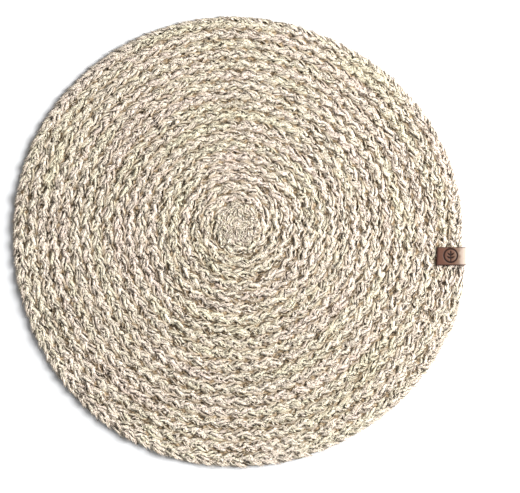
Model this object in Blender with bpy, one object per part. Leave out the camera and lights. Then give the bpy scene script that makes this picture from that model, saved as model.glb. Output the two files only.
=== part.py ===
"""A round placemat: one flat seagrass braid wound into a spiral and sewn edge to edge, with a
leather tag folded over its rim.

Metres, +Z up. The underside lies on z = 0, the origin is under the middle of the mat, and +X runs
from the middle to the tag. Seen from above, the braid is wound outwards counter-clockwise.
"""

import math

import bmesh
import bpy
from mathutils import Matrix, Vector

# The coil
MAT_RADIUS = 0.1902             # mean radius of the rim
RIM_CENTRE = (0.0004, 0.0029)   # middle of the rim's round, seen from above
COIL_CENTRE = (0.0, 0.0145)     # where the braid starts, so that the rows widen towards -Y
TURNS = 21
BRAID_END = math.radians(-8.0)  # direction of the braid's outer end, under the tag

# How far the hand-wound rows leave a true circle: lobes round the mat, depth as a share of the
# radius, and direction of a crest in degrees
UNEVENNESS = (
    # lobes, depth, crest
    (2, 0.0065, -3.0),
    (3, 0.0082, 12.0),
    (5, 0.0024, 20.0),
)

# The braid
BRAID_HEIGHT = 0.007
GROOVE_HEIGHT = 0.0052          # top of the sewn joint between two rows
RIM_HEIGHT = 0.0035             # where the rim stands out furthest
FOOT_INSET = 0.15               # how far the rim draws in at the foot, in rows
END_WIDTH = 0.45                # width of the tucked end, in rows
END_TAPER = math.radians(14.0)  # stretch over which the braid narrows to its end
STEPS = 72                      # straight pieces to a turn

# The leather tag
TAG_WIDTH = 0.0155
TAG_LENGTH = 0.0256             # from the cut edge to the fold
TAG_FOLD_X = 0.193              # outside of the fold
TAG_MIDDLE_Y = -0.01225
TAG_HEIGHT = 0.0078             # outside of the folded tag
LEATHER = 0.0014
FOLD_STEPS = 8
EDGE_ROUND = 0.0003
CLEARANCE = 0.0003              # gap between the leather and the braid

SHARP = math.radians(50)        # edges turning more than this are left crisp


def clear_scene():
    for item in list(bpy.data.objects):
        bpy.data.objects.remove(item, do_unlink=True)


def finish(name, colour, roughness):
    material = bpy.data.materials.new(name)
    material.use_nodes = True
    shader = material.node_tree.nodes["Principled BSDF"]
    shader.inputs["Base Color"].default_value = (*colour, 1.0)
    shader.inputs["Roughness"].default_value = roughness
    shader.inputs["Metallic"].default_value = 0.0
    return material


def add_object(name, bm, material):
    mesh = bpy.data.meshes.new(name)
    bm.to_mesh(mesh)
    bm.free()
    mesh.shade_smooth()
    mesh.set_sharp_from_angle(angle=SHARP)
    if material:
        mesh.materials.append(material)
    item = bpy.data.objects.new(name, mesh)
    bpy.context.scene.collection.objects.link(item)
    return item


def rim_reach(direction):
    """Distance from the coil's centre to the mean rim."""
    offset = Vector(RIM_CENTRE) - Vector(COIL_CENTRE)
    along = offset.dot(Vector((math.cos(direction), math.sin(direction))))
    reach = along + math.sqrt(along ** 2 + MAT_RADIUS ** 2 - offset.length_squared)
    for lobes, depth, crest in UNEVENNESS:
        reach *= 1 + depth * math.cos(lobes * (direction - math.radians(crest)))
    return reach


def row_profile(rows):
    """One section through the coil, from its centre to its foot: distance in rows, and height."""
    profile = []
    for row in range(rows):
        profile.append((row, GROOVE_HEIGHT))
        profile.append((row + 0.5, BRAID_HEIGHT))
    profile.append((rows, RIM_HEIGHT))
    profile.append((rows - FOOT_INSET, 0.0))
    return profile


def braided_coil():
    """The wound braid. A section is spun once round, and each point then moves out by the share of
    a turn it has gone through, so that the end of each row meets the start of the next."""
    rows = TURNS - 1
    row_unit = MAT_RADIUS / TURNS
    lift = 4 * BRAID_HEIGHT      # the spin climbs by this at each step, which keeps the steps apart

    bm = bmesh.new()
    section = [bm.verts.new((row * row_unit, 0, height)) for row, height in row_profile(rows)]
    lines = [bm.edges.new(pair) for pair in zip(section, section[1:])]
    bmesh.ops.spin(bm, geom=section + lines, angle=math.tau, axis=(0, 0, 1), cent=(0, 0, 0),
                   dvec=(0, 0, lift), steps=STEPS, use_merge=False)

    feet = {}
    for vert in bm.verts:
        step = math.floor(vert.co.z / lift + 0.01)
        height = max(0.0, vert.co.z - step * lift)
        row = vert.co.xy.length / row_unit
        turn = step / STEPS

        # The last row narrows where its end is tucked away
        to_end = (1 - turn) * math.tau
        width = END_WIDTH + (1 - END_WIDTH) * min(1, to_end / END_TAPER)
        last_groove = rows - 1
        if row > last_groove:
            row = last_groove + (row - last_groove) * width

        # The start of the braid has no groove inside it
        turns = row + turn
        if turns < 1 and row < 0.25:
            height += (BRAID_HEIGHT - GROOVE_HEIGHT) * (1 - turns)

        direction = BRAID_END + turn * math.tau
        reach = rim_reach(direction) * turns / (TURNS - 0.5)
        vert.co = (COIL_CENTRE[0] + reach * math.cos(direction),
                   COIL_CENTRE[1] + reach * math.sin(direction),
                   height)
        if height < 0.0001:
            vert.co.z = 0.0
            feet[step] = vert

    bmesh.ops.remove_doubles(bm, verts=bm.verts[:], dist=0.00002)
    bm.edges.new((feet[0], feet[STEPS]))
    open_edges = [edge for edge in bm.edges if len(edge.link_faces) < 2]
    bmesh.ops.holes_fill(bm, edges=open_edges, sides=0)
    bmesh.ops.recalc_face_normals(bm, faces=bm.faces[:])
    coil = add_object("braided_coil", bm, finish("seagrass", (0.62, 0.54, 0.44), 0.85))
    return coil


def folded_strip(name, extra, material):
    """A strip folded once over the rim, its middle line drawn and then given the leather's
    thickness. extra grows it on every side."""
    bend = (TAG_HEIGHT - LEATHER) / 2
    middle = Vector((TAG_FOLD_X - TAG_HEIGHT / 2, 0, TAG_HEIGHT / 2))
    cut_x = TAG_FOLD_X - TAG_LENGTH - extra

    line = [Vector((cut_x, 0, LEATHER / 2))]
    for step in range(FOLD_STEPS + 1):
        turn = math.pi * step / FOLD_STEPS
        line.append(middle + bend * Vector((math.sin(turn), 0, -math.cos(turn))))
    line.append(Vector((cut_x, 0, TAG_HEIGHT - LEATHER / 2)))

    bm = bmesh.new()
    half = TAG_WIDTH / 2 + extra
    verts = [bm.verts.new(point + Vector((0, TAG_MIDDLE_Y - half, 0))) for point in line]
    edges = [bm.edges.new(pair) for pair in zip(verts, verts[1:])]
    grown = bmesh.ops.extrude_edge_only(bm, edges=edges)["geom"]
    new_verts = [item for item in grown if isinstance(item, bmesh.types.BMVert)]
    bmesh.ops.transform(bm, matrix=Matrix.Translation((0, 2 * half, 0)), verts=new_verts)
    bmesh.ops.recalc_face_normals(bm, faces=bm.faces[:])

    strip = add_object(name, bm, material)
    wall = strip.modifiers.new("leather thickness", "SOLIDIFY")
    wall.thickness = LEATHER + 2 * extra
    wall.offset = 0.0
    wall.use_even_offset = True
    return strip


def leather_tag():
    tag = folded_strip("leather_tag", 0.0, finish("leather", (0.20, 0.10, 0.06), 0.5))
    edge = tag.modifiers.new("rounded edges", "BEVEL")
    edge.width = EDGE_ROUND
    edge.segments = 1
    edge.limit_method = "ANGLE"
    edge.angle_limit = math.radians(60)
    return tag


def make_room(coil):
    """Relieves the braid where the leather presses into it, above and below."""
    room = folded_strip("room_for_tag", CLEARANCE, None)
    room.hide_render = True
    room.display_type = "WIRE"
    cut = coil.modifiers.new("room for the tag", "BOOLEAN")
    cut.operation = "DIFFERENCE"
    cut.solver = "EXACT"
    cut.object = room


clear_scene()
make_room(braided_coil())
leather_tag()
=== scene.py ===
import math

import bmesh
import bpy
import numpy as np
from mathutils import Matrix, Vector


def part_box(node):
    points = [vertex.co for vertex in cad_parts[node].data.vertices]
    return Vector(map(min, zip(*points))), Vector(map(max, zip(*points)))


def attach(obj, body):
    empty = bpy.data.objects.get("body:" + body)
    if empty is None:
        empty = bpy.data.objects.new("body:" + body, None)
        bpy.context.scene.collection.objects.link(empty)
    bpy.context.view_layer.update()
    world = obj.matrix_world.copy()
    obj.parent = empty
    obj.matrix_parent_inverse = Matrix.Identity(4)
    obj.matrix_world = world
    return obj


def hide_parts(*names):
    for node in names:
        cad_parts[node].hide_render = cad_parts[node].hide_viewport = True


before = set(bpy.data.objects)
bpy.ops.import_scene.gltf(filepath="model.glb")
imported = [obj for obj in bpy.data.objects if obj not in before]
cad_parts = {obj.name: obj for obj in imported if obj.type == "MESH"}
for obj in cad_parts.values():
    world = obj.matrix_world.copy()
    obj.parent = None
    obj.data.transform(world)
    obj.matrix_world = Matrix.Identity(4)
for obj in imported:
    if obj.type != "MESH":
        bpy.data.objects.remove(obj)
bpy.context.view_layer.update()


# The table top: a plain white surface under the mat, lit by two soft lamps on the tag's side and
# by a pale sky. The camera hangs straight above, a little towards the tag.

TABLE_SIZE = 6.0
TABLE_WHITE = (0.76, 0.765, 0.775)
SKY_STRENGTH = 0.34
CAMERA_AT = (0.0182, -0.0040)
CAMERA_HEIGHT = 1.6
VIEW_WIDTH = 0.4425
SENSOR = 36.0

scene = bpy.context.scene
scene.view_settings.view_transform = "Standard"

bm = bmesh.new()
bmesh.ops.create_grid(bm, x_segments=1, y_segments=1, size=TABLE_SIZE / 2)
table_mesh = bpy.data.meshes.new("table_top")
bm.to_mesh(table_mesh)
bm.free()
table_top = bpy.data.objects.new("table_top", table_mesh)
scene.collection.objects.link(table_top)
table_paint = bpy.data.materials.new("white_table")
table_paint.use_nodes = True
table_shader = table_paint.node_tree.nodes["Principled BSDF"]
table_shader.inputs["Base Color"].default_value = (*TABLE_WHITE, 1)
table_shader.inputs["Roughness"].default_value = 0.9
table_mesh.materials.append(table_paint)

sky = bpy.data.worlds.new("studio")
sky.use_nodes = True
sky.node_tree.nodes["Background"].inputs["Color"].default_value = (1, 1, 1, 1)
sky.node_tree.nodes["Background"].inputs["Strength"].default_value = SKY_STRENGTH
scene.world = sky


def lamp(name, at, size, power):
    """A round soft lamp that faces the middle of the mat."""
    light = bpy.data.lights.new(name, "AREA")
    light.shape = "DISK"
    light.size = size
    light.energy = power
    holder = bpy.data.objects.new(name, light)
    holder.location = at
    holder.rotation_euler = (-Vector(at)).to_track_quat("-Z", "Y").to_euler()
    scene.collection.objects.link(holder)


lamp("window", at=(1.5, 0.42, 0.85), size=1.1, power=45)
lamp("ceiling", at=(1.3, 0.36, 1.6), size=1.3, power=54)

camera = bpy.data.objects.new("camera", bpy.data.cameras.new("camera"))
camera.data.sensor_width = SENSOR
camera.data.lens = SENSOR * CAMERA_HEIGHT / VIEW_WIDTH
camera.location = (*CAMERA_AT, CAMERA_HEIGHT)
scene.collection.objects.link(camera)
scene.camera = camera


# The coil's line: the braid starts a little off the middle, is wound outwards counter-clockwise
# and ends under the tag. Hand winding leaves the rim slightly out of round.

MAT_RADIUS = 0.1902             # mean radius of the rim
RIM_CENTRE = (0.0004, 0.0029)
COIL_CENTRE = (0.0, 0.0145)     # where the braid starts, so that the rows widen towards -Y
FIRST_TURN = 0.5
TURNS = 21
COIL_POINTS = 40000
BRAID_END = math.radians(-8.0)  # direction of the braid's outer end, under the tag
END_WIDTH = 0.45                # width of the tucked end, in rows
END_TAPER = 14.0 / 360          # stretch over which the braid narrows to its end, in turns
UNEVENNESS = (
    # lobes, depth, crest in degrees
    (2, 0.0065, -3.0),
    (3, 0.0082, 12.0),
    (5, 0.0024, 20.0),
)

chance = np.random.default_rng(21)


def rim_reach(direction):
    """Distance from the coil's centre to the mean rim, in an array of directions."""
    offset = np.subtract(RIM_CENTRE, COIL_CENTRE)
    along = offset[0] * np.cos(direction) + offset[1] * np.sin(direction)
    reach = along + np.sqrt(along ** 2 + MAT_RADIUS ** 2 - offset @ offset)
    for lobes, depth, crest in UNEVENNESS:
        reach = reach * (1 + depth * np.cos(lobes * (direction - math.radians(crest))))
    return reach


def on_coil(turns, across):
    """Place and row width at so many turns from the centre, across rows out from the braid's
    middle line."""
    direction = BRAID_END + math.tau * turns
    row = rim_reach(direction) / (TURNS - 0.5)
    to_end = TURNS - turns
    width = END_WIDTH + (1 - END_WIDTH) * np.clip(to_end / END_TAPER, 0, 1)
    reach = row * (turns - 1 + width * (0.5 + across))
    x = COIL_CENTRE[0] + reach * np.cos(direction)
    y = COIL_CENTRE[1] + reach * np.sin(direction)
    return x, y, row * width


def drift(count, spacing, size):
    """A smooth random wander of count steps, with a new swing every spacing steps."""
    knots = chance.normal(0, size, int(count / spacing) + 4)
    return np.interp(np.arange(count) / spacing, np.arange(len(knots)), knots)


fine_turns = np.linspace(FIRST_TURN, TURNS, COIL_POINTS)
fine_x, fine_y, _ = on_coil(fine_turns, 0.0)
fine_length = np.concatenate(([0], np.cumsum(np.hypot(np.diff(fine_x), np.diff(fine_y)))))
braid_length = fine_length[-1]


# The braid: three strands of dried seagrass plaited flat, about 12 m of it. Each strand is a
# bundle of split blades that lie side by side, start and stop along the strand, and fray.

STRAND_PERIOD = 0.0393          # a strand is back on the same side after this much braid
STRAND_WIDTH = 0.0073
STRAND_HEIGHT = 0.0038
SIDE_WIDTH = 0.88               # share of the width where a strand turns at the braid's side,
FACE_WIDENING = 0.24            # and how much is added where it lies on the face
SIDE_HEIGHT = 1.12
FACE_FLATTENING = 0.22
BRAID_MIDDLE = 0.0035
CROSSING_RISE = 0.0013
ROW_OVERLAP = 1.15              # lobes of neighbouring rows reach in between each other
LOBE_INSET = 0.44               # from a lobe's edge to the strand's middle line, in strand widths
STEP = 0.0032                   # length of braid between two places on a strand's line

# How unevenly it is plaited and coloured: steps between two swings, and the size of a swing
PACE_DRIFT = (14, 0.02)
REACH_DRIFT = (5, 0.05)
SIDE_DRIFT = (3, 0.02)
RISE_DRIFT = (3, 0.0002)
TONE_DRIFT = (18, 0.05)
TINT_DRIFT = (14, 0.24)

BLADES = 5                      # blades round a strand
BLADE_WIDTH = 0.0037
BLADE_HEIGHT = 0.0004
BLADE_LENGTH = (0.03, 0.09)
BLADE_SIZES = (0.8, 1.2)
BLADE_LAP = 3                   # steps by which a blade starts before the last one ends
SHORTEST_BLADE = 4              # in steps
STAGGER = 40                    # steps over which the first blades of a strand start
ROCKING = 0.35                  # how far the blades roll round a strand as it crosses, in radians
WINDING = 0.5                   # how far a blade winds round its strand from end to end
WANDER_DRIFT = (5, 0.15)
WIDTH_DRIFT = (2, 0.1)
TURN_JITTER = 0.04              # how roughly a blade lies, from step to step
FLARE_JITTER = 0.025
TILT_JITTER = 0.07
BLADE_SINK = 0.3                # share of its height that a blade lies in the strand
FLARE = (-0.1, 0.2)             # how far a blade's end lies under or stands off the strand
BLADE_TONE = (0.6, 0.05)        # middle and spread, from brown at 0 to bleached at 1
BLADE_TINT = (0.5, 0.2)         # from pink to green
TABLE_GAP = 0.0001              # lowest that the grass comes
TIPS_MEET = 0.000001            # a blade's corners run together at its tips

PRESS_START = 0.003             # the squeeze starts this far before the leather's cut edge
PRESS_EASE = 0.005
PRESS_SIDE = 0.004
PRESSED_SHARE = 0.62            # height that the braid keeps under the tag

DEEPEST = 1.1                   # a little over 1, so that the very middle is all painted shade and dust
DEEP_HEIGHT = 0.0013            # the layer painted with shade and dust, up and down from the braid's middle
LIT_RIM = 0.004                 # the rim takes light from outside, so no shade is painted so far in; the painted shade and dust then come in over LIT_FADE
LIT_FADE = 0.003
SEAM_SHADE = 0.7
SEAM_WIDTH = 0.12               # in rows

FIBRE_LENGTHS = 230             # fibres that show to a metre along a blade, and across it
FIBRE_LINES = 720
STRAW = (
    # level and colour, from brown to bleached
    (0.10, (0.11, 0.06, 0.022)),
    (0.28, (0.44, 0.33, 0.20)),
    (0.42, (0.74, 0.65, 0.53)),
    (0.58, (0.79, 0.71, 0.60)),
    (0.85, (0.81, 0.745, 0.64)),
)
LEANINGS = (
    # pink, plain and green
    (0.0, (1.0, 0.92, 0.93)),
    (0.5, (1.0, 0.97, 0.94)),
    (1.0, (0.97, 0.98, 0.86)),
)
# colour of the splits between fibres: painted shade in the gaps
SPLIT_SHADE = (0.06, 0.03, 0.01)
# colour of the painted shade, with some dust, deep in the braid and along the seams
SHADE_AND_DUST = (0.36, 0.275, 0.18)

tag_low, tag_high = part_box("leather_tag")
pressed_middle = (tag_low.z + tag_high.z) / 2

steps = int(braid_length / STEP)
way = np.linspace(0, braid_length, steps)
turns = np.interp(way, fine_length, fine_turns)
phase = math.tau * way / STRAND_PERIOD + np.cumsum(drift(steps, *PACE_DRIFT))
stretch_tone = drift(steps, *TONE_DRIFT)
stretch_tint = drift(steps, *TINT_DRIFT)


def press(points):
    """Squeezes the braid where the folded tag holds it."""
    x, y, z = points.T
    hold = np.clip((x - tag_low.x + PRESS_START) / PRESS_EASE, 0, 1)
    hold *= np.clip((tag_high.y + PRESS_SIDE - y) / PRESS_SIDE, 0, 1)
    hold *= np.clip((y - tag_low.y + PRESS_SIDE) / PRESS_SIDE, 0, 1)
    pressed = pressed_middle + (z - BRAID_MIDDLE) * PRESSED_SHARE
    points[:, 2] = z + (pressed - z) * hold
    return points


def strand_line(number):
    """Middle line of one strand, its sideways and upward directions, and its half width and
    half height at each step: flat where it lies on top, round where it turns at the side."""
    swing = phase + math.tau * number / 3
    row = on_coil(turns, 0.0)[2]
    flat = np.sin(2 * swing) ** 2
    wide = 0.5 * STRAND_WIDTH * (SIDE_WIDTH + FACE_WIDENING * flat) * row / np.mean(row)
    high = 0.5 * STRAND_HEIGHT * (SIDE_HEIGHT - FACE_FLATTENING * flat)
    reach = 0.5 * ROW_OVERLAP - LOBE_INSET * STRAND_WIDTH / np.mean(row)
    across = reach * np.sin(swing) * (1 + drift(steps, *REACH_DRIFT)) + drift(steps, *SIDE_DRIFT)
    x, y, _ = on_coil(turns, across)
    z = BRAID_MIDDLE + CROSSING_RISE * np.sin(2 * swing) + drift(steps, *RISE_DRIFT)
    line = np.stack((x, y, z), 1)
    forward = np.gradient(line, axis=0)
    forward /= np.linalg.norm(forward, axis=1, keepdims=True)
    left = np.cross((0, 0, 1), forward)
    left /= np.linalg.norm(left, axis=1, keepdims=True)
    up = np.cross(forward, left)
    return line, left, up, wide, high


def blade_section(width, height):
    """A blade's section: a low ridge."""
    shape = bpy.data.curves.new("blade_section", "CURVE")
    shape.dimensions = "2D"
    side = shape.splines.new("POLY")
    side.points.add(2)
    side.use_cyclic_u = True
    corners = ((-0.5, -0.35), (0.0, 0.65), (0.5, -0.35))
    for point, (x, y) in zip(side.points, corners):
        point.co = (x * width, y * height, 0, 1)
    section = bpy.data.objects.new("blade_section", shape)
    scene.collection.objects.link(section)
    return section


def blades_to_mesh(name, blades, section, finish):
    """Sweeps a section along each blade's line, and joins them into one piece. A blade is
    (points, radii, tilts, tone, tint, deep). The mesh keeps its tone and tint, how deep in the
    braid each point is, as a mask of painted shade, and each point's place along and across
    its own blade."""
    curve = bpy.data.curves.new(name, "CURVE")
    curve.dimensions = "3D"
    curve.twist_mode = "Z_UP"
    curve.bevel_mode = "OBJECT"
    curve.bevel_object = section
    values = {"tone": [], "tint": [], "deep": [], "along": [], "sideways": []}
    corners = np.array([point.co.x for point in section.data.splines[0].points])
    for points, radii, tilts, tone, tint, deep in blades:
        spline = curve.splines.new("POLY")
        spline.points.add(len(points) - 1)
        co = np.ones((len(points), 4), np.float32)
        co[:, :3] = points
        spline.points.foreach_set("co", co.ravel())
        spline.points.foreach_set("radius", np.asarray(radii, np.float32))
        spline.points.foreach_set("tilt", np.asarray(tilts, np.float32))
        lengths = np.linalg.norm(np.diff(points, axis=0), axis=1)
        along = chance.random() * 10 + np.concatenate(([0], np.cumsum(lengths)))
        values["sideways"].append(np.outer(radii, corners).ravel())
        for label, each in (("tone", tone), ("tint", tint), ("deep", deep), ("along", along)):
            values[label].append(np.repeat(each, len(corners)))
    holder = bpy.data.objects.new(name, curve)
    scene.collection.objects.link(holder)
    depsgraph = bpy.context.evaluated_depsgraph_get()
    mesh = bpy.data.meshes.new_from_object(holder.evaluated_get(depsgraph))
    bpy.data.objects.remove(holder)
    for label, parts in values.items():
        attribute = mesh.attributes.new(label, "FLOAT", "POINT")
        attribute.data.foreach_set("value", np.concatenate(parts).astype(np.float32))
    bm = bmesh.new()
    bm.from_mesh(mesh)
    bmesh.ops.remove_doubles(bm, verts=bm.verts[:], dist=TIPS_MEET)
    for vert in bm.verts:
        vert.co.z = max(vert.co.z, TABLE_GAP)
    bm.to_mesh(mesh)
    bm.free()
    mesh.shade_smooth()
    mesh.materials.clear()
    mesh.materials.append(finish)
    piece = bpy.data.objects.new(name, mesh)
    scene.collection.objects.link(piece)
    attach(piece, "root")
    return piece


def node(tree, kind, **settings):
    """A shader node with its settings."""
    made = tree.nodes.new(kind)
    for key, value in settings.items():
        setattr(made, key, value)
    return made


def ramp(tree, stops):
    """A colour ramp through its stops, each a position and a colour."""
    made = node(tree, "ShaderNodeValToRGB")
    made.color_ramp.elements[0].position = stops[0][0]
    made.color_ramp.elements[0].color = (*stops[0][1], 1)
    made.color_ramp.elements[1].position = stops[-1][0]
    made.color_ramp.elements[1].color = (*stops[-1][1], 1)
    for position, colour in stops[1:-1]:
        made.color_ramp.elements.new(position).color = (*colour, 1)
    return made


def seagrass():
    """Dried grass: pale straw with fine fibres along each blade, splits between them darkened with
    painted shade, and painted shade with some dust deep in the braid.
    """
    material = bpy.data.materials.new("seagrass")
    material.use_nodes = True
    tree = material.node_tree
    link = tree.links.new
    shader = tree.nodes["Principled BSDF"]
    shader.inputs["Roughness"].default_value = 0.75
    shader.inputs["Specular IOR Level"].default_value = 0.08
    place = node(tree, "ShaderNodeTexCoord")
    tone = node(tree, "ShaderNodeAttribute", attribute_name="tone")
    tint = node(tree, "ShaderNodeAttribute", attribute_name="tint")
    deep = node(tree, "ShaderNodeAttribute", attribute_name="deep")
    along = node(tree, "ShaderNodeAttribute", attribute_name="along")
    sideways = node(tree, "ShaderNodeAttribute", attribute_name="sideways")

    # Fine fibres that run along each blade
    lie = node(tree, "ShaderNodeCombineXYZ")
    for attribute, scale, socket in ((along, FIBRE_LENGTHS, "X"), (sideways, FIBRE_LINES, "Y")):
        stretched = node(tree, "ShaderNodeMath", operation="MULTIPLY")
        stretched.inputs[1].default_value = scale
        link(attribute.outputs["Fac"], stretched.inputs[0])
        link(stretched.outputs[0], lie.inputs[socket])
    fibres = node(tree, "ShaderNodeTexNoise")
    fibres.inputs["Scale"].default_value = 1.0
    fibres.inputs["Detail"].default_value = 3
    fibres.inputs["Distortion"].default_value = 1.2
    link(lie.outputs[0], fibres.inputs["Vector"])

    # Pale straw, from bleached to brown, mottled along each blade
    mottle = node(tree, "ShaderNodeTexNoise")
    mottle.inputs["Scale"].default_value = 950
    mottle.inputs["Detail"].default_value = 2
    link(place.outputs["Object"], mottle.inputs["Vector"])
    level = node(tree, "ShaderNodeMath", operation="MULTIPLY_ADD")
    level.inputs[1].default_value = 1.6
    link(mottle.outputs["Fac"], level.inputs[0])
    link(tone.outputs["Fac"], level.inputs[2])
    lined = node(tree, "ShaderNodeMath", operation="MULTIPLY_ADD")
    lined.inputs[1].default_value = 1.2
    link(fibres.outputs["Fac"], lined.inputs[0])
    link(level.outputs[0], lined.inputs[2])
    scaled = node(tree, "ShaderNodeMapRange")
    scaled.inputs["From Min"].default_value = 0.96
    scaled.inputs["From Max"].default_value = 2.36
    link(lined.outputs[0], scaled.inputs["Value"])
    straw = ramp(tree, STRAW)
    link(scaled.outputs[0], straw.inputs["Fac"])

    # Some blades lean to pink, some to green
    shift = ramp(tree, LEANINGS)
    link(tint.outputs["Fac"], shift.inputs["Fac"])
    tinted = node(tree, "ShaderNodeMix", data_type="RGBA", blend_type="MULTIPLY")
    tinted.inputs["Factor"].default_value = 1.0
    link(straw.outputs["Color"], tinted.inputs["A"])
    link(shift.outputs["Color"], tinted.inputs["B"])

    # Thin dark splits between the fibres, their darkness painted shade in the gaps
    apart = node(tree, "ShaderNodeMath", operation="SUBTRACT")
    apart.inputs[1].default_value = 0.5
    link(fibres.outputs["Fac"], apart.inputs[0])
    from_split = node(tree, "ShaderNodeMath", operation="ABSOLUTE")
    link(apart.outputs[0], from_split.inputs[0])
    split = node(tree, "ShaderNodeMapRange")
    split.inputs["From Min"].default_value = 0.008
    split.inputs["From Max"].default_value = 0.045
    link(from_split.outputs[0], split.inputs["Value"])
    cracked = node(tree, "ShaderNodeMix", data_type="RGBA")
    cracked.inputs["A"].default_value = (*SPLIT_SHADE, 1)
    link(split.outputs[0], cracked.inputs["Factor"])
    link(tinted.outputs["Result"], cracked.inputs["B"])

    # Painted shade, with some dust, deep between the crossings and along the seams
    shade_and_dust = node(tree, "ShaderNodeMix", data_type="RGBA")
    shade_and_dust.inputs["B"].default_value = (*SHADE_AND_DUST, 1)
    link(deep.outputs["Fac"], shade_and_dust.inputs["Factor"])
    link(cracked.outputs["Result"], shade_and_dust.inputs["A"])
    link(shade_and_dust.outputs["Result"], shader.inputs["Base Color"])

    bump = node(tree, "ShaderNodeBump")
    bump.inputs["Strength"].default_value = 0.9
    bump.inputs["Distance"].default_value = 0.0006
    link(lined.outputs[0], bump.inputs["Height"])
    link(bump.outputs["Normal"], shader.inputs["Normal"])
    return material


def from_seam(points):
    """Distance in rows to the sewn joint between two rows."""
    from_centre = points[:, :2] - COIL_CENTRE
    direction = np.arctan2(from_centre[:, 1], from_centre[:, 0])
    row = rim_reach(direction) / (TURNS - 0.5)
    rows_out = np.hypot(*from_centre.T) / row - (direction - BRAID_END) / math.tau
    inner = rows_out < TURNS - 1.5
    return np.where(inner, np.abs(rows_out - np.round(rows_out)), 1.0)


def around(line, left, up, wide, high, turn):
    """Points round a strand's middle line, the tilt that turns a blade's ridge outwards, and how
    deep in the braid each point is, as a mask of painted shade that also covers the seams and
    fades out at the lit rim."""
    points = line + left * (wide * np.cos(turn))[:, None] + up * (high * np.sin(turn))[:, None]
    facing = np.arctan2(np.sin(turn) / high, np.cos(turn) / wide)
    # deep is painted shade, with some dust: dark towards the braid's middle height, none at the lit
    # rim, and dark along the seams between rows
    deep = np.clip(DEEPEST - np.abs(points[:, 2] - BRAID_MIDDLE) / DEEP_HEIGHT, 0, 1)
    from_middle = np.hypot(points[:, 0] - RIM_CENTRE[0], points[:, 1] - RIM_CENTRE[1])
    deep *= np.clip((MAT_RADIUS - LIT_RIM - from_middle) / LIT_FADE, 0, 1)
    deep = np.maximum(deep, SEAM_SHADE * np.clip(1 - from_seam(points) / SEAM_WIDTH, 0, 1))
    return press(points), facing - math.pi / 2, deep


def strand_blades(number, line, left, up, wide, high):
    """The blades of one strand, laid round its middle line."""
    blades = []
    rocking = -ROCKING * np.cos(phase + math.tau * number / 3)
    for place in range(BLADES):
        lean = math.tau * (place + 0.5 * chance.random()) / BLADES
        at = int(chance.uniform(-STAGGER, 0))
        while at < steps - SHORTEST_BLADE:
            count = int(chance.uniform(*BLADE_LENGTH) / STEP)
            first = max(0, at)
            last = min(steps, at + count)
            at += count - BLADE_LAP
            if last - first < SHORTEST_BLADE:
                continue
            cut = slice(first, last)
            here = last - first
            turn = lean + rocking[cut] + drift(here, *WANDER_DRIFT)
            turn = turn + np.linspace(0, chance.normal(0, WINDING), here)
            turn += chance.normal(0, TURN_JITTER, here)
            ends = np.minimum(np.arange(here), np.arange(here)[::-1])
            flare = 1 + chance.normal(0, FLARE_JITTER, here)
            flare = flare + np.clip(2 - ends, 0, 2) * chance.uniform(*FLARE)
            inset = BLADE_SINK * BLADE_HEIGHT
            points, tilts, deep = around(line[cut], left[cut], up[cut], (wide[cut] - inset) * flare,
                                         (high[cut] - inset) * flare, turn)
            tilts = tilts + chance.normal(0, TILT_JITTER, here)
            radii = chance.uniform(*BLADE_SIZES) * (1 + drift(here, *WIDTH_DRIFT))
            radii = radii * np.clip(ends / 2, 0, 1)
            tone = np.clip(chance.normal(*BLADE_TONE) + stretch_tone[cut], 0.05, 1)
            tint = np.clip(chance.normal(*BLADE_TINT) + stretch_tint[cut], 0, 1)
            blades.append((points, np.maximum(radii, 0), tilts, tone, tint, deep))
    return blades


grass = seagrass()
section = blade_section(BLADE_WIDTH, BLADE_HEIGHT)
strand_lines = [strand_line(number) for number in range(3)]
for number, name in enumerate(("strand_a", "strand_b", "strand_c")):
    blades = strand_blades(number, *strand_lines[number])
    blades_to_mesh(name, blades, section, grass)
bpy.data.objects.remove(section)


# Fibres split off the grass, and finer hairs that are often weathered dark. They lie at a slant
# over each strand, claw out at the rim where blades end, and tangle over the braid's start.

FIBRE_POINTS = 4
TIPS_CLOSED = np.array((0, 1, 1, 0))

# each_step is how many start at each step of a strand, dark is the share of them that is
# weathered, claws is how many stand out at each place at the rim, and tangle how many lie over
# the braid's start
FIBRE = {"width": 0.0011, "height": 0.00018, "each_step": 3.7, "dark": 0.0, "claws": 2,
         "tangle": 130}
HAIR = {"width": 0.0005, "height": 0.0002, "each_step": 2.4, "dark": 0.4, "claws": 3,
        "tangle": 60}

FIBRE_SLANT = 0.3               # how far a fibre goes round the strand it lies on, in radians
FIBRE_SPREAD = 0.55             # how far from the strand's top it lies, in radians
FIBRE_REACH = (0.9, 2.1)        # length in steps
FIBRE_SIZES = (0.7, 1.5)
FIBRE_LIFT = 1.015              # share of the strand's thickness that a fibre lies at
END_LIFT = (-0.12, 0.2)         # how far its ends stand off or tuck in
LEFT_OUT_BELOW = 0.7            # share of the fibres that the underside goes without
FIBRE_TONES = (0.0, 0.6)        # dark and pale
FIBRE_TINT = (0.5, 0.25)        # middle and spread
BARE_END = 8                    # steps at the braid's end without fibres

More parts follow.
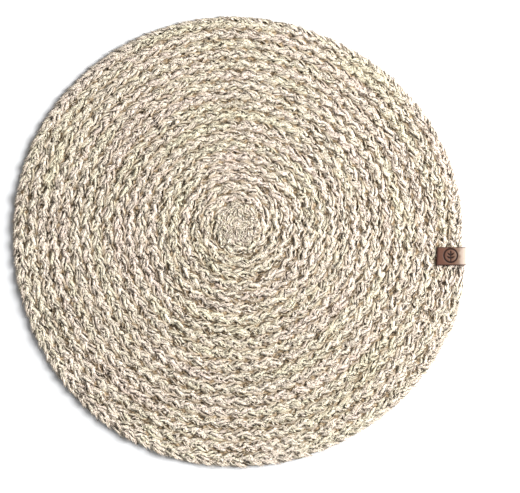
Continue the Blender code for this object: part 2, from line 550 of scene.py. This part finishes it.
CLAW_POINTS = 5
CLAW_RADII = np.array((0.0, 1.0, 1.1, 0.8, 0.0))
CLAW_LIFTS = np.array((-0.1, 0.1, 0.25, 0.5, 1.0))
CLAW_FROM = (0.45, 0.75)        # where a claw starts and ends round its strand, in half turns
CLAW_TO = (0.9, 1.08)
CLAW_REACH = (1.6, 3.0)         # length in steps
CLAW_SIZES = (1.1, 1.8)
CLAW_TONES = (0.05, 0.62)       # dark and pale
CLAW_TINT = (0.2, 0.6)
DARK_STAND = (0.05, 0.2)        # how far a dark claw's tip stands off the strand, and a pale one's
PALE_STAND = (0.2, 1.0)
RIM_TURN = 1.02                 # the turns that lie at the rim, back from the braid's end
GOING_OUT = 0.1                 # above this, a strand is on its way out and well to the rim's side

TANGLE_RADIUS = 0.018
TANGLE_TOP = 0.0070
TANGLE_DEPTH = 0.0012
TANGLE_LENGTH = (0.004, 0.009)
TANGLE_SIZES = (0.8, 1.6)
TANGLE_TONES = (0.05, 0.58)     # dark and pale
TANGLE_TINT = (0.2, 0.9)
TANGLE_ENDS = np.array((0.0006, 0, 0, 0.0006))


def over_strand(lines, start, span, turn, lift):
    """Points over one strand: so many steps along from start, turned round its middle line, and
    lifted to a share of its thickness."""
    line, left, up, wide, high = lines
    where = start + np.linspace(0, span, len(turn))
    low = where.astype(int)
    share = (where - low)[:, None]

    def between(values):
        return values[low] * (1 - share) + values[low + 1] * share

    w = between(wide[:, None])[:, 0] * lift
    h = between(high[:, None])[:, 0] * lift
    return around(between(line), between(left), between(up), w, h, turn)


def loose_fibres(number, lines, kind):
    """Fibres lying over one strand, mostly where it lies on the mat's face."""
    fibres = []
    side = np.sin(phase + math.tau * number / 3)
    height = lines[0][:, 2]
    for start in np.sort(chance.integers(0, steps - BARE_END, int(kind["each_step"] * steps))):
        over = 1 if height[start] > BRAID_MIDDLE else -1
        if over < 0 and chance.random() < LEFT_OUT_BELOW:
            continue
        middle = over * math.pi / 2 + chance.normal(0, FIBRE_SPREAD)
        slant = over * FIBRE_SLANT * np.clip(2 * side[start], -1, 1) + chance.normal(0, 0.3)
        turn = middle + slant * np.linspace(-1, 1, FIBRE_POINTS)
        turn += chance.normal(0, 0.04, FIBRE_POINTS)
        lift = FIBRE_LIFT + chance.normal(0, 0.012, FIBRE_POINTS)
        lift[[0, -1]] -= chance.uniform(*END_LIFT, 2)
        span = chance.uniform(*FIBRE_REACH)
        points, tilts, deep = over_strand(lines, start, span, turn, lift)
        radii = chance.uniform(*FIBRE_SIZES) * TIPS_CLOSED
        tilts = tilts + chance.normal(0, 0.1)
        pale = chance.random() >= kind["dark"]
        level = chance.normal(FIBRE_TONES[pale], 0.08) + stretch_tone[start]
        tone = np.full(FIBRE_POINTS, level)
        lean = np.clip(chance.normal(*FIBRE_TINT) + stretch_tint[start], 0, 1)
        tint = np.full(FIBRE_POINTS, lean)
        fibres.append((points, radii, tilts, tone, tint, deep))
    return fibres


def rim_claws(number, lines, kind):
    """Blade ends at the rim. Each comes over the top of a strand and out past its side like a
    claw, along the way that the braid runs."""
    claws = []
    swing = phase + math.tau * number / 3
    going_out = (np.sin(swing) > GOING_OUT) & (np.cos(swing) > GOING_OUT)
    on_rim = (turns > TURNS - RIM_TURN) & (turns < TURNS - END_TAPER)
    for start in np.repeat(np.flatnonzero(going_out & on_rim), kind["claws"]):
        first = chance.uniform(*CLAW_FROM) * math.pi
        last = chance.uniform(*CLAW_TO) * math.pi
        pale = chance.random() >= kind["dark"]
        stand = chance.uniform(*PALE_STAND) if pale else chance.uniform(*DARK_STAND)
        lift = 1.0 + stand * CLAW_LIFTS
        turn = np.linspace(first, last, CLAW_POINTS)
        begin = start + chance.uniform(0, 1)
        points, tilts, _ = over_strand(lines, begin, chance.uniform(*CLAW_REACH), turn, lift)
        tone = np.full(CLAW_POINTS, chance.normal(CLAW_TONES[pale], 0.1))
        tint = np.full(CLAW_POINTS, chance.uniform(*CLAW_TINT))
        radii = chance.uniform(*CLAW_SIZES) * CLAW_RADII
        claws.append((points, radii, tilts, tone, tint, np.zeros(CLAW_POINTS)))
    return claws


def tangled_start(kind):
    """Fibres that lie every way over the braid's tucked-in start, in the middle of the coil."""
    fibres = []
    for _ in range(kind["tangle"]):
        out = TANGLE_RADIUS * chance.random() ** 0.9
        about = chance.uniform(0, math.tau)
        facing = about + math.pi / 2 + chance.normal(0, 0.9)
        bend = chance.normal(0, 0.25)
        run = chance.uniform(*TANGLE_LENGTH) * np.linspace(-0.5, 0.5, FIBRE_POINTS)
        heading = facing + bend * np.linspace(-1, 1, FIBRE_POINTS)
        x = COIL_CENTRE[0] + out * math.cos(about) + run * np.cos(heading)
        y = COIL_CENTRE[1] + out * math.sin(about) + run * np.sin(heading)
        z = TANGLE_TOP - chance.uniform(0, TANGLE_DEPTH) - TANGLE_ENDS
        pale = chance.random() >= kind["dark"]
        tone = np.full(FIBRE_POINTS, chance.normal(TANGLE_TONES[pale], 0.08))
        tint = np.full(FIBRE_POINTS, chance.uniform(*TANGLE_TINT))
        radii = chance.uniform(*TANGLE_SIZES) * TIPS_CLOSED
        tilts = np.full(FIBRE_POINTS, chance.normal(0, 0.3))
        points = np.stack((x, y, z), 1)
        fibres.append((points, radii, tilts, tone, tint, np.zeros(FIBRE_POINTS)))
    return fibres


for kind, names in ((FIBRE, ("fibres_a", "fibres_b", "fibres_c")),
                    (HAIR, ("hairs_a", "hairs_b", "hairs_c"))):
    section = blade_section(kind["width"], kind["height"])
    for number, name in enumerate(names):
        lines = strand_lines[number]
        fibres = (loose_fibres(number, lines, kind) + rim_claws(number, lines, kind)
                  + tangled_start(kind))
        blades_to_mesh(name, fibres, section, grass)
    bpy.data.objects.remove(section)


# The grass deep in the braid, seen only through the gaps between its crossings: one thin flat
# layer that stops inside the outer row, painted dark with shade, and some dust.

LAYER_TOP = 0.0049
LAYER_UNDER = 0.0028
LAYER_EDGE = -0.1               # from the outer row's middle line, in rows
LAYER_SIDES = 180
SHREDS = (
    # level and colour, from painted shade to straw
    (0.38, (0.04, 0.024, 0.010)),
    (0.55, (0.26, 0.18, 0.10)),
    (0.68, (0.52, 0.40, 0.26)),
)


def shaded_grass():
    """Shredded grass, painted dark with the braid's own shade."""
    material = bpy.data.materials.new("shaded_grass")
    material.use_nodes = True
    tree = material.node_tree
    link = tree.links.new
    shader = tree.nodes["Principled BSDF"]
    shader.inputs["Roughness"].default_value = 0.85
    place = node(tree, "ShaderNodeTexCoord")
    shreds = node(tree, "ShaderNodeTexNoise")
    shreds.inputs["Scale"].default_value = 480
    shreds.inputs["Detail"].default_value = 3
    link(place.outputs["Object"], shreds.inputs["Vector"])
    shade = ramp(tree, SHREDS)
    link(shreds.outputs["Fac"], shade.inputs["Fac"])
    link(shade.outputs["Color"], shader.inputs["Base Color"])
    bump = node(tree, "ShaderNodeBump")
    bump.inputs["Strength"].default_value = 0.8
    bump.inputs["Distance"].default_value = 0.0006
    link(shreds.outputs["Fac"], bump.inputs["Height"])
    link(bump.outputs["Normal"], shader.inputs["Normal"])
    return material


bm = bmesh.new()
bmesh.ops.create_circle(bm, cap_ends=True, segments=LAYER_SIDES, radius=1.0)
for vert in bm.verts:
    direction = math.atan2(vert.co.y, vert.co.x)
    turn = TURNS - 1 + ((direction - BRAID_END) / math.tau) % 1.0
    x, y, _ = on_coil(np.array([turn]), LAYER_EDGE)
    vert.co = (x[0], y[0], LAYER_TOP)
bmesh.ops.recalc_face_normals(bm, faces=bm.faces[:])
grown = bmesh.ops.extrude_face_region(bm, geom=bm.faces[:])["geom"]
for item in grown:
    if isinstance(item, bmesh.types.BMVert):
        item.co.z = LAYER_UNDER
bmesh.ops.recalc_face_normals(bm, faces=bm.faces[:])
layer_mesh = bpy.data.meshes.new("inner_layer")
bm.to_mesh(layer_mesh)
bm.free()
inner_layer = bpy.data.objects.new("inner_layer", layer_mesh)
scene.collection.objects.link(inner_layer)
layer_mesh.materials.append(shaded_grass())
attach(inner_layer, "root")
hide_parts("braided_coil")


# The tag: a strip of brown leather folded once over the rim. A ring with a sprig in it is
# stamped into the upper leaf, the cut edges are burnished dark, and the leaf is painted paler
# towards the fold: painted light from the lamps on that side and a painted highlight on the
# fold, with some wear.

LEATHER = 0.0014
LOWER_STEPS = 10
FOLD_STEPS = 12
UPPER_GRID = 0.001              # spacing of the mesh along the upper leaf
STAMP_GRID = 0.00035            # and where the leather is stamped
STAMP_AT = (0.0122, 0.0006)     # from the cut edge, and from the strip's middle line
STAMP_RADIUS = 0.0057
STAMP_LINE = 0.0014
STAMP_DEPTH = 0.00028
STAMP_SOFTNESS = 0.05           # of the stamp's edges, in shares of the ring's radius
CUT_LEAN = 0.0008               # the upper leaf is cut a little out of square
EDGE_ROUND = 0.00022
SHARP_FOLD = 1.0                # edges turning more than this, in radians, are cut edges
BURNT_EDGE = 0.0004             # width of the dark cut edge, and of its fade
BURNT_FADE = 0.0009
END_BURN = 0.7                  # below 1 the cut end is burnt wider than the sides are,
FAR_BURN = 1.6                  # and above 1 the far side is burnt less
WEAR_AND_HIGHLIGHT = 0.85                   # how pale the fold is painted: lamp light, a highlight on the fold and some wear
LEAF_BELLY = 0.7                # below 1, a leaf is widest near its foot
TOP_SKIN = 0.0001               # how far under the top a point still belongs to the upper face,
MARKED_SKIN = 0.0006            # and how far down the burnt colour of the stamp goes

HIDE = (
    # level and colour, from clouded brown to the pale fold with its painted light and highlight
    (0.12, (0.088, 0.034, 0.021)),
    (0.55, (0.125, 0.064, 0.041)),
    (0.85, (0.19, 0.126, 0.091)),
    (1.0, (0.36, 0.285, 0.235)),
)
STAMP_BROWN = (0.012, 0.004, 0.002)
EDGE_BROWN = (0.03, 0.010, 0.006)

LEAVES = (
    # foot of the leaf, its tip, and its half width, in shares of the ring's radius
    ((0.0, -0.42), (0.64, -0.10), 0.15),
    ((0.0, -0.42), (-0.64, -0.10), 0.15),
    ((0.0, 0.02), (0.56, 0.42), 0.14),
    ((0.0, 0.02), (-0.56, 0.42), 0.14),
    ((0.0, 0.30), (0.0, 0.78), 0.13),
)
STEM = ((0.0, -0.80), (0.0, 0.40), 0.09)

tag_width = tag_high.y - tag_low.y
tag_middle = (tag_high.y + tag_low.y) / 2
fold_radius = (tag_high.z - tag_low.z) / 2
leaf_length = tag_high.x - fold_radius - tag_low.x
fold_length = math.pi * fold_radius
stamp_x = tag_low.x + STAMP_AT[0]
stamp_y = tag_middle + STAMP_AT[1]


def along_line(x, y, foot, tip):
    """Share of the way from foot to tip, and distance to the line between them."""
    foot, tip = Vector(foot), Vector(tip)
    way_there = tip - foot
    share = min(1, max(0, (Vector((x, y)) - foot).dot(way_there) / way_there.length_squared))
    return share, (Vector((x, y)) - foot - share * way_there).length


def stamped(x, y):
    """How deep the stamp has gone at a place on the upper leaf, from 0 to 1."""
    x, y = (x - stamp_x) / STAMP_RADIUS, (y - stamp_y) / STAMP_RADIUS
    half = 0.5 * STAMP_LINE / STAMP_RADIUS
    inside = half - abs(math.hypot(x, y) - 1)
    stem_foot, stem_tip, stem_half = STEM
    inside = max(inside, stem_half - along_line(x, y, stem_foot, stem_tip)[1])
    for foot, tip, half_width in LEAVES:
        share, away = along_line(x, y, foot, tip)
        inside = max(inside, half_width * math.sin(math.pi * share ** LEAF_BELLY) - away)
    return min(1, max(0, inside / STAMP_SOFTNESS + 0.5))


def spaced(start, end, spacing):
    """Even places from start up to, but without, the end."""
    count = max(1, round((end - start) / spacing))
    return [start + (end - start) * step / count for step in range(count)]


def on_strip(run, y):
    """A place on the strip's outer side, so far along from the lower leaf's cut edge."""
    if run < leaf_length:
        return Vector((tag_low.x + run, y, tag_low.z))
    if run < leaf_length + fold_length:
        turn = (run - leaf_length) / fold_radius
        return Vector((tag_high.x - fold_radius + fold_radius * math.sin(turn), y,
                       tag_low.z + fold_radius * (1 - math.cos(turn))))
    back = (run - leaf_length - fold_length) / leaf_length
    lean = CUT_LEAN * back ** 3 * (y - tag_low.y) / tag_width
    x = tag_high.x - fold_radius - back * leaf_length + lean
    return Vector((x, y, tag_high.z))


strip_length = 2 * leaf_length + fold_length
stamp_reach = STAMP_RADIUS + STAMP_LINE
stamp_start = strip_length - STAMP_AT[0] - stamp_reach
stamp_end = strip_length - STAMP_AT[0] + stamp_reach
fold_end = leaf_length + fold_length
columns = (spaced(0, leaf_length, leaf_length / LOWER_STEPS)
           + spaced(leaf_length, fold_end, fold_length / FOLD_STEPS)
           + spaced(fold_end, stamp_start, UPPER_GRID)
           + spaced(stamp_start, stamp_end, STAMP_GRID)
           + spaced(stamp_end, strip_length, UPPER_GRID) + [strip_length])
rows = spaced(tag_low.y, tag_high.y, STAMP_GRID) + [tag_high.y]

bm = bmesh.new()
bmesh.ops.create_grid(bm, x_segments=len(columns) - 1, y_segments=len(rows) - 1, size=0.5)
for vert in bm.verts:
    column = round((vert.co.x + 0.5) * (len(columns) - 1))
    row = round((vert.co.y + 0.5) * (len(rows) - 1))
    vert.co = on_strip(columns[column], rows[row])
bmesh.ops.recalc_face_normals(bm, faces=bm.faces[:])
bmesh.ops.solidify(bm, geom=bm.faces[:], thickness=-LEATHER)
bmesh.ops.recalc_face_normals(bm, faces=bm.faces[:])
cut_edges = [edge for edge in bm.edges if edge.calc_face_angle(0) > SHARP_FOLD]
bmesh.ops.bevel(bm, geom=cut_edges, offset=EDGE_ROUND, segments=2, profile=0.5, affect="EDGES",
                material=-1)
for vert in bm.verts:
    if vert.co.z > tag_high.z - TOP_SKIN:
        vert.co.z -= STAMP_DEPTH * stamped(vert.co.x, vert.co.y)
tag_mesh = bpy.data.meshes.new("folded_tag")
bm.to_mesh(tag_mesh)
bm.free()
tag_mesh.shade_smooth()

marks = {"stamp": [], "cut": [], "wear_and_highlight": []}
for vert in tag_mesh.vertices:
    x, y, z = vert.co
    back = 1 - (x - tag_low.x) / leaf_length
    cut_x = tag_low.x + CUT_LEAN * (y - tag_low.y) / tag_width * (z > fold_radius)
    to_edge = min(END_BURN * (x - cut_x), y - tag_low.y, FAR_BURN * (tag_high.y - y))
    marks["stamp"].append(stamped(x, y) if z > tag_high.z - MARKED_SKIN else 0.0)
    marks["cut"].append(min(1, max(0, 1 - (to_edge - BURNT_EDGE) / BURNT_FADE)))
    # painted light: paler from the cut end to the fold, for the lamps on that side and the fold's
    # highlight, with some wear
    marks["wear_and_highlight"].append(WEAR_AND_HIGHLIGHT * min(1, max(0, 1 - back)) ** 2)
for label, values in marks.items():
    tag_mesh.attributes.new(label, "FLOAT", "POINT").data.foreach_set("value", values)


def brown_leather():
    """Vegetable-tanned leather, burnt dark at the stamp and the cuts."""
    material = bpy.data.materials.new("brown_leather")
    material.use_nodes = True
    tree = material.node_tree
    link = tree.links.new
    shader = tree.nodes["Principled BSDF"]
    shader.inputs["Specular IOR Level"].default_value = 0.15
    place = node(tree, "ShaderNodeTexCoord")
    stamp = node(tree, "ShaderNodeAttribute", attribute_name="stamp")
    cut = node(tree, "ShaderNodeAttribute", attribute_name="cut")
    wear_and_highlight = node(tree, "ShaderNodeAttribute", attribute_name="wear_and_highlight")

    # Reddish brown, clouded, and paler towards the fold: painted light from the lamps on that side,
    # a painted highlight on the fold, and some wear
    cloud = node(tree, "ShaderNodeTexNoise")
    cloud.inputs["Scale"].default_value = 260
    cloud.inputs["Detail"].default_value = 4
    link(place.outputs["Object"], cloud.inputs["Vector"])
    paler = node(tree, "ShaderNodeMath", operation="MULTIPLY_ADD")
    paler.inputs[1].default_value = 0.35
    link(cloud.outputs["Fac"], paler.inputs[0])
    link(wear_and_highlight.outputs["Fac"], paler.inputs[2])
    hide = ramp(tree, HIDE)
    link(paler.outputs[0], hide.inputs["Fac"])

    # The stamp is burnt in dark, and so are the cut edges
    pressed = node(tree, "ShaderNodeMix", data_type="RGBA")
    pressed.inputs["B"].default_value = (*STAMP_BROWN, 1)
    link(stamp.outputs["Fac"], pressed.inputs["Factor"])
    link(hide.outputs["Color"], pressed.inputs["A"])
    edged = node(tree, "ShaderNodeMix", data_type="RGBA")
    edged.inputs["B"].default_value = (*EDGE_BROWN, 1)
    link(cut.outputs["Fac"], edged.inputs["Factor"])
    link(pressed.outputs["Result"], edged.inputs["A"])
    link(edged.outputs["Result"], shader.inputs["Base Color"])

    # Fine pores, and a polish that comes and goes
    pores = node(tree, "ShaderNodeTexVoronoi", feature="DISTANCE_TO_EDGE")
    pores.inputs["Scale"].default_value = 2200
    link(place.outputs["Object"], pores.inputs["Vector"])
    bump = node(tree, "ShaderNodeBump")
    bump.inputs["Strength"].default_value = 0.25
    bump.inputs["Distance"].default_value = 0.0002
    link(pores.outputs["Distance"], bump.inputs["Height"])
    link(bump.outputs["Normal"], shader.inputs["Normal"])
    polish = node(tree, "ShaderNodeMapRange")
    polish.inputs["To Min"].default_value = 0.45
    polish.inputs["To Max"].default_value = 0.65
    link(cloud.outputs["Fac"], polish.inputs["Value"])
    link(polish.outputs[0], shader.inputs["Roughness"])
    return material


tag = bpy.data.objects.new("folded_tag", tag_mesh)
scene.collection.objects.link(tag)
tag_mesh.materials.append(brown_leather())
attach(tag, "root")
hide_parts("leather_tag")
